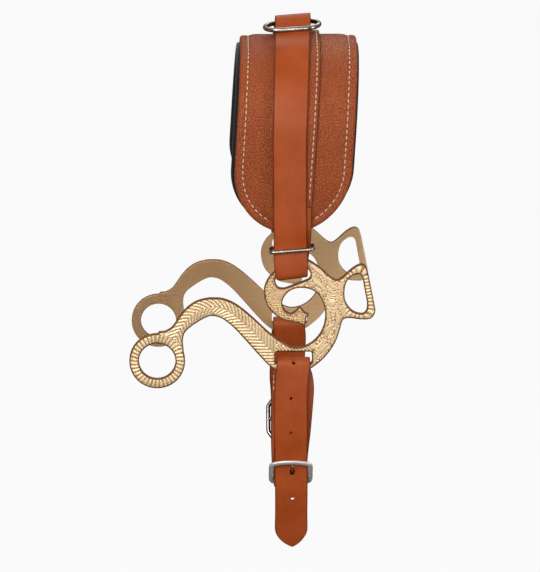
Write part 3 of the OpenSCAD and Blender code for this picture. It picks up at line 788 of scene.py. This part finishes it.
def front_layer():
    """Rows of the noseband strap from its turn in the cheek up to the crown."""
    rows = [(-FRONT_R, -75, -13, 11)]
    for a in range(180, 116, -9):
        t = math.radians(a)
        w = (180 - a) / 63
        rows.append((FRONT_R * math.cos(t), -NOSE_R + FRONT_R * math.sin(t), -13.1 + 2 * w, 11 + 3 * w))
    return WRAP + rows


def rise(z):
    return np.clip((np.asarray(z) + 120) / 120, 0, 1)


def lean_at(z):
    return LEAN * rise(z) - 0.8


def base_lean_at(z):
    return BASE_LEAN * rise(z)


def base_rows():
    """Rows of the wide strap sewn on the pad."""
    r = NOSE_R + BASE_TOP + BASE_T / 2
    places = [(-r, z) for z in np.linspace(BASE_END_Z, -NOSE_R, 8)[:-1]]
    places += [(-r * math.cos(a), -NOSE_R + r * math.sin(a)) for a in np.linspace(0, PI / 2, 14)]
    rows = []
    for y, z in places:
        hw = BASE_HW[0] + (BASE_HW[1] - BASE_HW[0]) * min(max(z / BASE_END_Z, 0), 1)
        mid = float(base_lean_at(z))
        rows.append((y, z, mid - hw, mid + hw))
    return rows + far(rows[:-1])[::-1]


def punched(side):
    """Cutters for the punched holes and the tongue's hole on one side."""
    top_z, steps, tilt = NEAR_PUNCH if side > 0 else FAR_PUNCH
    cutters = []
    for i in steps:
        in_tail = i > 3
        t = math.radians(tilt if in_tail else 0)
        z = top_z - i * PUNCH_PITCH - 16 * math.tan(t)
        reach = 24 if in_tail else 11
        end = (PUNCH_X[i], (PUNCH_START_Y + reach * math.cos(t)) * side, z + reach * math.sin(t))
        start = (PUNCH_X[i], PUNCH_START_Y * side, z)
        cutters.append(rod(start, end, TAIL_PUNCH_R if in_tail else STRAP_PUNCH_R))
    path = np.array(NEAR_TONGUE if side > 0 else FAR_TONGUE)
    a = path[1] - 0.3 * (path[2] - path[1])
    b = path[2] + 0.3 * (path[2] - path[1])
    r = TONGUE_D / 2 + TONGUE_ROOM
    return cutters + [rod((TONGUE_X, a[0] * side, a[1]), (TONGUE_X, b[0] * side, b[1]), r)]


def chape_rows(front, back, bar):
    """Rows of a chape, down its front, round the tongue's bar and up its back."""
    turn = [(bar[0] + CHAPE_WRAP_R * math.cos(t), bar[1] + CHAPE_WRAP_R * math.sin(t))
            for t in np.radians(np.arange(180, 391, 30))]
    return [(y, z, *CHAPE_X) for y, z in refine(np.array([*front, *turn, *back]), 2.5, False)]


def block(lo, hi):
    """A plain box used as a cutter."""
    xs, ys, zs = zip(lo, hi)
    verts = [(x, y, z) for x in xs for y in ys for z in zs]
    faces = [(0, 1, 3, 2), (4, 6, 7, 5), (0, 4, 5, 1), (2, 3, 7, 6), (0, 2, 6, 4), (1, 5, 7, 3)]
    return mesh_piece("cutter", verts, faces)


def straps():
    noseband = strap("noseband_strap", both(front_layer(), front_layer(), CROWN), STRAP_T, STRAP_LEATHER)
    settle(noseband, "noseband", "strap_leather", "noseband_strap")
    base = strap("base_strap", base_rows(), BASE_T, GRAINED_LEATHER)
    settle(base, "noseband", "strap_leather", "base_strap")
    near_rows = NEAR_TAIL + NEAR_FRONT + LOWER_LOOP + NEAR_BACK + UNDER_CHIN
    far_rows = FAR_TAIL + FAR_FRONT + LOWER_LOOP + FAR_BACK + UNDER_CHIN
    chin = strap("chin_strap", both(near_rows, far_rows), CHIN_T, STRAP_LEATHER)
    cut(chin, punched(1) + punched(-1))
    smooth(chin)
    settle(chin, "chin_strap", "strap_leather", "chin_strap")
    for name, side, front, back, bar, top in (
            ("near_chape", 1, NEAR_CHAPE, NEAR_CHAPE_BACK, NEAR_TONGUE_BAR, NEAR_SLOT_TOP),
            ("far_chape", -1, FAR_CHAPE, FAR_CHAPE_BACK, FAR_TONGUE_BAR, FAR_SLOT_TOP)):
        rows = chape_rows(front, back, bar)
        chape = strap(name, rows if side > 0 else far(rows)[::-1], CHAPE_T, STRAP_LEATHER, 0.6, 2)
        x0, x1 = TONGUE_X - SLOT_HALF_W, TONGUE_X + SLOT_HALF_W
        holes = []
        for y1, z0, z1 in ((bar[0] + 8, bar[1] - 5, bar[1] + 3.8), (bar[0] - 1.8, bar[1] + 3, top)):
            lo, hi = sorted(((bar[0] - 8) * side, y1 * side))
            holes.append(block((x0, lo, z0), (x1, hi, z1)))
        cut(chape, holes)
        smooth(chape)
        settle(chape, "chin_strap", "strap_leather", name)


# ---------- wire and buckles ----------

def turned(points, angles, at):
    """Points turned by x, then y degrees, and moved to the place."""
    about_x, about_y = (Matrix.Rotation(math.radians(a), 3, axis) for a, axis in zip(angles, "XY"))
    turn = about_y @ about_x
    return [tuple(turn @ Vector(p) + Vector(at)) for p in points]


def wire_fittings():
    half, r = (RING_W - RING_DEPTH) / 2, RING_DEPTH / 2
    ends = np.radians(np.arange(-90, 91, 7.5))
    loop = [(half + r * math.cos(a), r * math.sin(a), 0) for a in ends]
    loop += [(-half - r * math.cos(a), -r * math.sin(a), 0) for a in ends]
    path = turned(refine(np.array(loop), 1.5), (RING_TILT, -RING_ROLL), RING_CENTRE)
    ring = tube("top_ring", path, NICKEL, RING_WIRE / 2, sides=24)
    settle(ring, "top_ring", "nickel", "top_ring")
    r = KEEPER_WIRE / 2
    x0, x1, y0, y1 = KEEPER_X[0] - r, KEEPER_X[1] + r, KEEPER_Y[0] - r, KEEPER_Y[1] + r
    corners = [(x0, y0, 0), (x1, y0, 0), (x1, y1, 0), (x0, y1, 0)]
    path = turned(refine(rounded_path(corners, 2.4), 1.5), (0, -KEEPER_ROLL), (0, 0, KEEPER_Z))
    for side, name in ((1, "near_keeper"), (-1, "far_keeper")):
        keeper = tube(name, [(x, y * side, z) for x, y, z in path], NICKEL, r, sides=20)
        settle(keeper, name, "nickel", name)


def buckle(name, side, size, outline, bars, across, deep):
    """A buckle: a flat-sided loop along the outline, and straight bars across it."""
    y, z, _, tilt = size
    place = lambda points: [(px, py * side, pz) for px, py, pz in turned(points, (tilt, 0), (0, y, z))]
    up = turned([(0, 1, 0)], (tilt, 0), (0, 0, 0))[0]
    # Painted light: the near buckle takes the paler brushed nickel as its lit copy, and the far buckle
    # takes the darker nickel as its shaded copy.
    lit_or_shaded_plating = LIT_SATIN_NICKEL if side > 0 else NICKEL
    up = (up[0], up[1] * side, up[2])
    frame_piece = tube(name, place(refine(outline, 0.8)), lit_or_shaded_plating, across, deep, 20, up=up)
    settle(frame_piece, "chin_strap", "nickel", name)
    for i, (height, r) in enumerate(bars):
        ends = np.array([(x, 0, height) for x in (-BUCKLE_W / 2, BUCKLE_W / 2)], float)
        path = place(refine(ends, 1, False))
        bar = tube(f"{name}_bar{i}", path, NICKEL, r, sides=16, closed=False)
        settle(bar, "chin_strap", "nickel")


def near_frame_outline():
    """The near frame: rounded lower corners and a top bar that bows up."""
    w, h = BUCKLE_W / 2, NEAR_BUCKLE[2]
    low = rounded_path([(w, 0, 8), (w, 0, 0), (-w, 0, 0), (-w, 0, 8)], [0.01, 4, 4, 0.01])
    bow = [(w * math.cos(t), 0, h - 2.2 + 3.6 * math.sin(t)) for t in np.linspace(0.2, PI - 0.2, 20)]
    side = [(w, 0, h - 3.5)]
    return np.array([*bow, (-w, 0, h - 3.5), *low[::-1][2:-2], *side])


def far_frame_outline():
    """The far frame: an upright rectangle with cut corners."""
    w, h, c = BUCKLE_W / 2, FAR_BUCKLE[2], 5.5
    corners = [(w, 0, c), (w, 0, h - c), (w - c * 0.7, 0, h), (c * 0.7 - w, 0, h),
               (-w, 0, h - c), (-w, 0, c), (c * 0.7 - w, 0, 0), (w - c * 0.7, 0, 0)]
    return rounded_path(corners, 1.2, 4)


def tongue(name, side, path, bar, body):
    """A round prong that starts as an eye on its bar and rests over the far bar."""
    line = catmull([bar, *path], 5)[4:]
    last = line[-1] + unit(line[-1] - line[-2]) * 0.8
    points = [(TONGUE_X, p[0] * side, p[1]) for p in [*line, last]]
    ends = [1.0] * (len(points) - 2) + [0.86, 0.45]
    r = TONGUE_D / 2
    prong = tube(name, points, NICKEL, r, r * 0.8, 16, closed=False, up=(1, 0, 0), ends=ends)
    settle(prong, body, "nickel", name)
    circle = [(TONGUE_X, (bar[0] + TONGUE_EYE_R * math.cos(a)) * side, bar[1] + TONGUE_EYE_R * math.sin(a))
              for a in np.linspace(0, 2 * PI, 28, False)]
    eye = tube(name + "_eye", circle, NICKEL, 0.65, 1.5, 14, up=(1, 0, 0))
    settle(eye, body, "nickel")


def buckles():
    buckle("near_buckle_frame", 1, NEAR_BUCKLE, near_frame_outline(), [], 1.9, 1.25)
    buckle("far_buckle_frame", -1, FAR_BUCKLE, far_frame_outline(), [(FAR_BUCKLE[2] / 2, 1.5)], 1.6, 1.4)
    tongue("near_buckle_tongue", 1, NEAR_TONGUE, NEAR_TONGUE_BAR, "near_tongue")
    tongue("far_buckle_tongue", -1, FAR_TONGUE, FAR_TONGUE_BAR, "far_tongue")


# ---------- nose pad ----------

QUARTER = PI / 2 * NOSE_R
LEG_S = QUARTER - NOSE_R - PAD_END_Z


def on_arch(s, x, o):
    """Points s along the arch from its top, x across it and o out from the lining's inner face."""
    s, x, o = (np.asarray(v, float) for v in (s, x, o))
    side, d = np.sign(s), np.abs(s)
    a = np.minimum(d, QUARTER) / NOSE_R
    y = side * (NOSE_R + o) * np.sin(a)
    z = -NOSE_R + (NOSE_R + o) * np.cos(a) - np.maximum(d - QUARTER, 0)
    return np.stack([x + lean_at(z), y, z], axis=-1)


def off_arch(points):
    """How far points lie out from the lining's inner face, in millimetres."""
    y, z = points[:, 1], points[:, 2]
    return np.where(z > -NOSE_R, np.hypot(y, z + NOSE_R), np.abs(y)) - NOSE_R


def arch_out(points):
    """The outward direction of the arch at each point."""
    return units(np.stack([0 * points[:, 0], points[:, 1], np.maximum(points[:, 2] + NOSE_R, 0)], -1))


def ring_places(inset, half_w, end_h, step):
    """s and x round the pad's outline, at one distance inside it."""
    n_side = 2 * round(LEG_S / step)
    n_end = 2 * round(2.3 * end_h / step / 2)
    w, h = max(half_w - inset, 0), end_h - inset
    s, x = [], []
    for sign in (1, -1):
        side_s = np.linspace(-LEG_S, LEG_S, n_side, False) * sign
        s += list(side_s)
        x += [w * sign] * n_side
        a = np.linspace(0, PI, n_end, False)
        s += list(sign * (LEG_S + h * np.sin(a)))
        x += list(sign * w * np.cos(a))
    return np.array(s), np.array(x)


def pad_shell(name, rings, half_w, end_h, step, material):
    """A closed pad from rings of inset and offset, from its front's middle round the rim to its back."""
    verts, insets = [], []
    for inset, o in rings:
        s, x = ring_places(inset, half_w, end_h, step)
        verts.append(on_arch(s, x, np.full(len(s), o)))
        insets += [inset] * len(s)
    faces = band(len(rings), len(s))
    piece = mesh_piece(name, np.vstack(verts), faces, material, {"inset": insets}, sharp=0)
    weld(piece.data, True)
    smooth(piece, 0)
    return piece


def insets_of(piece):
    values = np.empty(len(piece.data.vertices), np.float32)
    piece.data.attributes["inset"].data.foreach_get("value", values)
    return values


def set_points(piece, points):
    piece.data.vertices.foreach_set("co", (points * MM).ravel())
    piece.data.update()


def inflate(piece, pinned, cap):
    """Fills the pad by a short cloth simulation. No point moves further than cap."""
    start = places_of(piece.data)
    group = piece.vertex_groups.new(name="pinned")
    group.add([int(i) for i in np.nonzero(pinned)[0]], 1.0, "REPLACE")
    cloth = piece.modifiers.new("cloth", "CLOTH")
    st = cloth.settings
    st.quality, st.mass = 6, 0.25
    st.tension_stiffness = st.compression_stiffness = 12
    st.shear_stiffness, st.bending_stiffness = 8, 0.3
    st.use_pressure, st.uniform_pressure_force = True, 4
    st.vertex_group_mass = "pinned"
    st.pin_stiffness = 1
    st.effector_weights.gravity = 0
    cloth.collision_settings.use_collision = False
    scene = bpy.context.scene
    for f in range(1, 21):
        scene.frame_set(f)
    apply_modifiers(piece)
    scene.frame_set(1)
    move = places_of(piece.data) - start
    size = np.linalg.norm(move, axis=1)
    scale = np.where(size > 1e-6, cap * np.tanh(size / cap) / np.maximum(size, 1e-6), 1)
    set_points(piece, start + move * scale[:, None])


def nose_pad():
    """Black lining, and over it the grained leather cover, stuffed and sewn round its border."""
    step = 2.6
    hw = COVER_HW + LINING_LIP
    front = [(d, LINING_T - 0.05) for d in (20, 12, 6, 3)]
    rim = [(1.3, LINING_T - 0.1), (0.5, LINING_T - 0.6), (0.1, LINING_T - 1.4)]
    rim += [(0, 2), (0.1, 1.2), (0.6, 0.4)]
    back = [(1.6, 0), (4, 0)] + [(d, 0) for d in np.linspace(8, hw, 10)]
    rings = [(hw, LINING_T - 0.05)] + front + rim + back
    lining = pad_shell("nose_pad_lining", rings, hw, LINING_END_H, step, NEOPRENE)
    set_points(lining, places_of(lining.data) + (LINING_SHIFT, 0, 0))
    settle(lining, "noseband", "neoprene", "nose_pad_lining")

    inner = [COVER_HW - v for v in np.arange(0, COVER_HW - 7, step)]
    height = lambda d: FLANGE_O + 0.9 * float(smoothstep(SEAM_INSET, SEAM_INSET + 5, d))
    front = [(d, height(d)) for d in inner] + [(d, FLANGE_O) for d in (7, 6, 5, 3.8, 2.6)]
    rim = [(1.4, FLANGE_O - 0.25), (0.5, FLANGE_O - 0.9), (0.05, FLANGE_O - 2), (0.05, LINING_T + 0.8)]
    rim.append((0.5, LINING_T + 0.05))
    back = [(3, LINING_T), (8, LINING_T)] + [(d, LINING_T) for d in np.linspace(14, COVER_HW, 5)]
    cover = pad_shell("nose_pad", front + rim + back, COVER_HW, COVER_END_H, step, GRAINED_LEATHER)
    inset, o = insets_of(cover), off_arch(places_of(cover.data))
    inflate(cover, (inset < SEAM_INSET + 0.5) | (o < LINING_T + 0.3), cap=1.4)
    finer = cover.modifiers.new("finer", "SUBSURF")
    finer.levels = finer.render_levels = 2
    apply_modifiers(cover)
    points, inset = places_of(cover.data), insets_of(cover)
    o = off_arch(points)
    on_front = smoothstep(FLANGE_O - 1.2, FLANGE_O - 0.6, o)
    groove = 0.6 * np.exp(-((inset - SEAM_INSET) / 0.9) ** 2)
    under = smoothstep(BASE_HW[0] + 9, BASE_HW[0] - 0.5, np.abs(points[:, 0] - base_lean_at(points[:, 2])))
    limit = BASE_TOP - 0.1 + 0.7 * (1 - under)
    want = np.minimum(o, limit) - groove * on_front
    set_points(cover, points - (o - want)[:, None] * arch_out(points))
    smooth(cover, 0)
    settle(cover, "noseband", "grained_leather", "nose_pad_cover", "nose_pad_filler", pad=0.55)
    return cover


# ---------- stitching ----------

def stitch(go, out, at):
    """One stitch as a short bowed thread: points and faces in millimetres."""
    go = unit(go)
    side = unit(np.cross(go, out))
    rings, sides = 7, 8
    verts = []
    for i in range(rings):
        u = i / (rings - 1) * 2 - 1
        r = THREAD_D / 2 * (0.55 + 0.45 * (1 - abs(u) ** 4))
        lift = THREAD_D * (0.34 - 0.75 * abs(u) ** 3)
        mid = at + go * u * STITCH_L / 2 + out * lift
        for k in range(sides):
            a = 2 * PI * k / sides
            verts.append(mid + side * r * math.cos(a) + out * r * math.sin(a) * 0.85)
    return verts, band(rings, sides) + end_caps(rings, sides)


def stitch_piece(name, stitches, body, node):
    verts, faces = [], []
    for go, out, at in stitches:
        v, f = stitch(np.array(go, float), np.array(out, float), np.array(at, float))
        faces += [tuple(i + len(verts) for i in face) for face in f]
        verts += v
    piece = mesh_piece(name, verts, faces, THREAD, sharp=0)
    settle(piece, body, "thread", node)


def spaced(points, pitch):
    """Places and headings at even distances along a path."""
    d = run_along(points)
    n = max(1, round(d[-1] / pitch))
    at = np.linspace(0, d[-1], n, False) + d[-1] / n / 2
    on_path = lambda where: np.stack([np.interp(where, d, points[:, i]) for i in range(3)], -1)
    return on_path(at), on_path(at + 0.4) - on_path(at - 0.4)


def laid_on(piece, places, outward):
    """Drops places on the surface of a piece. Gives the point and its normal."""
    tree = BVHTree.FromObject(piece, bpy.context.evaluated_depsgraph_get())
    found = []
    for p, out in zip(places, outward):
        hit = tree.ray_cast(Vector(p + out * 12) * MM, Vector(-out), 0.03)
        found.append((np.array(hit[0]) / MM, np.array(hit[1])) if hit[0] else (p, out))
    return found


def pad_stitches(cover):
    s, x = ring_places(SEAM_INSET, COVER_HW, COVER_END_H, 0.8)
    line = on_arch(s, x, np.full(len(s), LINING_T + 2))
    line = np.vstack([line, line[:1]])
    place, go = spaced(line, STITCH_PITCH)
    shown = (place[:, 2] > COVERED_Z) | (np.abs(place[:, 0] - lean_at(place[:, 2])) > COVERED_HW)
    place, go = place[shown], go[shown]
    found = laid_on(cover, place, arch_out(place))
    stitch_piece("pad_border_stitching", [(g, n, p) for g, (p, n) in zip(go, found)],
                 "noseband", "pad_border_stitching")


def base_stitches():
    rows = catmull(base_rows(), 6)
    along = units(np.gradient(rows[:, :2], axis=0))
    out = np.stack([0 * rows[:, 0], -along[:, 1], along[:, 0]], -1)
    line = np.stack([rows[:, 3] - BASE_STITCH_INSET, rows[:, 0], rows[:, 1]], -1) + out * BASE_T / 2
    place, go = spaced(line[4:-4], STITCH_PITCH)
    found = arch_out(place)
    stitch_piece("base_strap_stitching", list(zip(go, found, place)), "noseband", "base_strap_stitching")


def chape_stitches(name, side, rows):
    """Two short rows that hold a chape, on the strap's inner face."""
    line = catmull([(0, r[0] * side, r[1]) for r in rows], 12)[12:24]
    go = line[-1] - line[0]
    out = unit(np.cross((1, 0, 0), go) * side)
    if out[1] * side < 0:
        out = -out
    stitches = []
    for x in (CHAPE_X[0] + CHAPE_STITCH_INSET, CHAPE_X[1] - CHAPE_STITCH_INSET):
        for k in range(3):
            at = line[int(1.2 + 4.6 * k)] + (x, 0, 0) + out * CHIN_T / 2
            stitches.append((go, out, at))
    stitch_piece(name, stitches, "chin_strap", name)


straps()
wire_fittings()
buckles()
pad_cover = nose_pad()
pad_stitches(pad_cover)
base_stitches()
chape_stitches("near_chape_stitching", 1, NEAR_BACK[2:6])
chape_stitches("far_chape_stitching", -1, FAR_BACK[2:6])


# ---------- CAD finishes ----------

FINISH = {"lining": NEOPRENE, "filler": FOAM, "cover": GRAINED_LEATHER, "base_strap": GRAINED_LEATHER,
          "stitching": THREAD, "plate": BRASS_IN, "ring": NICKEL, "keeper": NICKEL, "buckle": NICKEL}
for node_name, node_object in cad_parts.items():
    finish = [mat for key, mat in FINISH.items() if key in node_name]
    node_object.data.materials.clear()
    node_object.data.materials.append(finish[-1] if finish else STRAP_LEATHER)


# ---------- floor, light and camera ----------

def soft_light(name, at, aim, size, power, colour=(1, 1, 1)):
    data = bpy.data.lights.new(name, "AREA")
    data.shape, data.size, data.size_y, data.energy, data.color = "RECTANGLE", *size, power, colour
    lamp = new_object(name, data)
    lamp.location = at
    lamp.rotation_euler = (Vector(aim) - Vector(at)).to_track_quat("-Z", "Y").to_euler()


def studio():
    me = bpy.data.meshes.new("floor")
    me.from_pydata([(-30, -30, -0.9), (30, -30, -0.9), (30, 30, -0.9), (-30, 30, -0.9)], [], [(0, 1, 2, 3)])
    glow = Nodes("floor")
    me.materials.append(glow.finish(
        Base_Color=(0.04, 0.04, 0.04, 1), Specular_IOR_Level=0.0, Emission_Color=srgb(250, 250, 250),
        Emission_Strength=0.98))
    dome = bpy.data.meshes.new("backdrop")
    bm = bmesh.new()
    bmesh.ops.create_uvsphere(bm, u_segments=48, v_segments=24, radius=12)
    bm.to_mesh(dome)
    bm.free()
    dome.materials.append(me.materials[0])
    for piece in (new_object("floor", me), new_object("backdrop", dome)):
        piece.visible_diffuse = piece.visible_glossy = piece.visible_shadow = False
    world = bpy.data.worlds.new("studio")
    bpy.context.scene.world = world
    world.use_nodes = True
    room = world.node_tree
    back = room.nodes["Background"]
    place = room.nodes.new("ShaderNodeTexCoord")
    split = room.nodes.new("ShaderNodeSeparateXYZ")
    ramp = room.nodes.new("ShaderNodeValToRGB")
    room.links.new(place.outputs["Generated"], split.inputs[0])
    room.links.new(split.outputs["Z"], ramp.inputs["Fac"])
    room.links.new(ramp.outputs["Color"], back.inputs["Color"])
    for end, level in zip(ramp.color_ramp.elements, (0.16, 0.75)):
        end.color = (level, level, level, 1)
    back.inputs["Strength"].default_value = 0.6
    soft_light("key", (-0.8, -1.9, 1.0), (0, 0, -0.15), (1.2, 1.2), 35)
    soft_light("front", (0.3, -2.6, 0.1), (0, 0, -0.2), (0.5, 1.6), 12)
    soft_light("fill", (1.5, -1.2, 0.3), (0, 0, -0.2), (0.5, 1.4), 10)
    soft_light("rim", (0.2, 1.4, 1.2), (0, 0, -0.15), (1.2, 0.7), 7)


def camera():
    az, el, away = math.radians(-1.1), math.radians(13.15), 2.9
    aim = Vector((-15.1, -62, -162.35)) * MM
    eye = aim + away * Vector((math.sin(az) * math.cos(el), -math.cos(az) * math.cos(el), math.sin(el)))
    data = bpy.data.cameras.new("camera")
    data.lens, data.sensor_width = 253.9, 36
    cam = new_object("camera", data)
    cam.location = eye
    cam.rotation_euler = (aim - eye).to_track_quat("-Z", "Y").to_euler()
    bpy.context.scene.camera = cam


studio()
camera()
bpy.context.scene.view_settings.view_transform = "Standard"
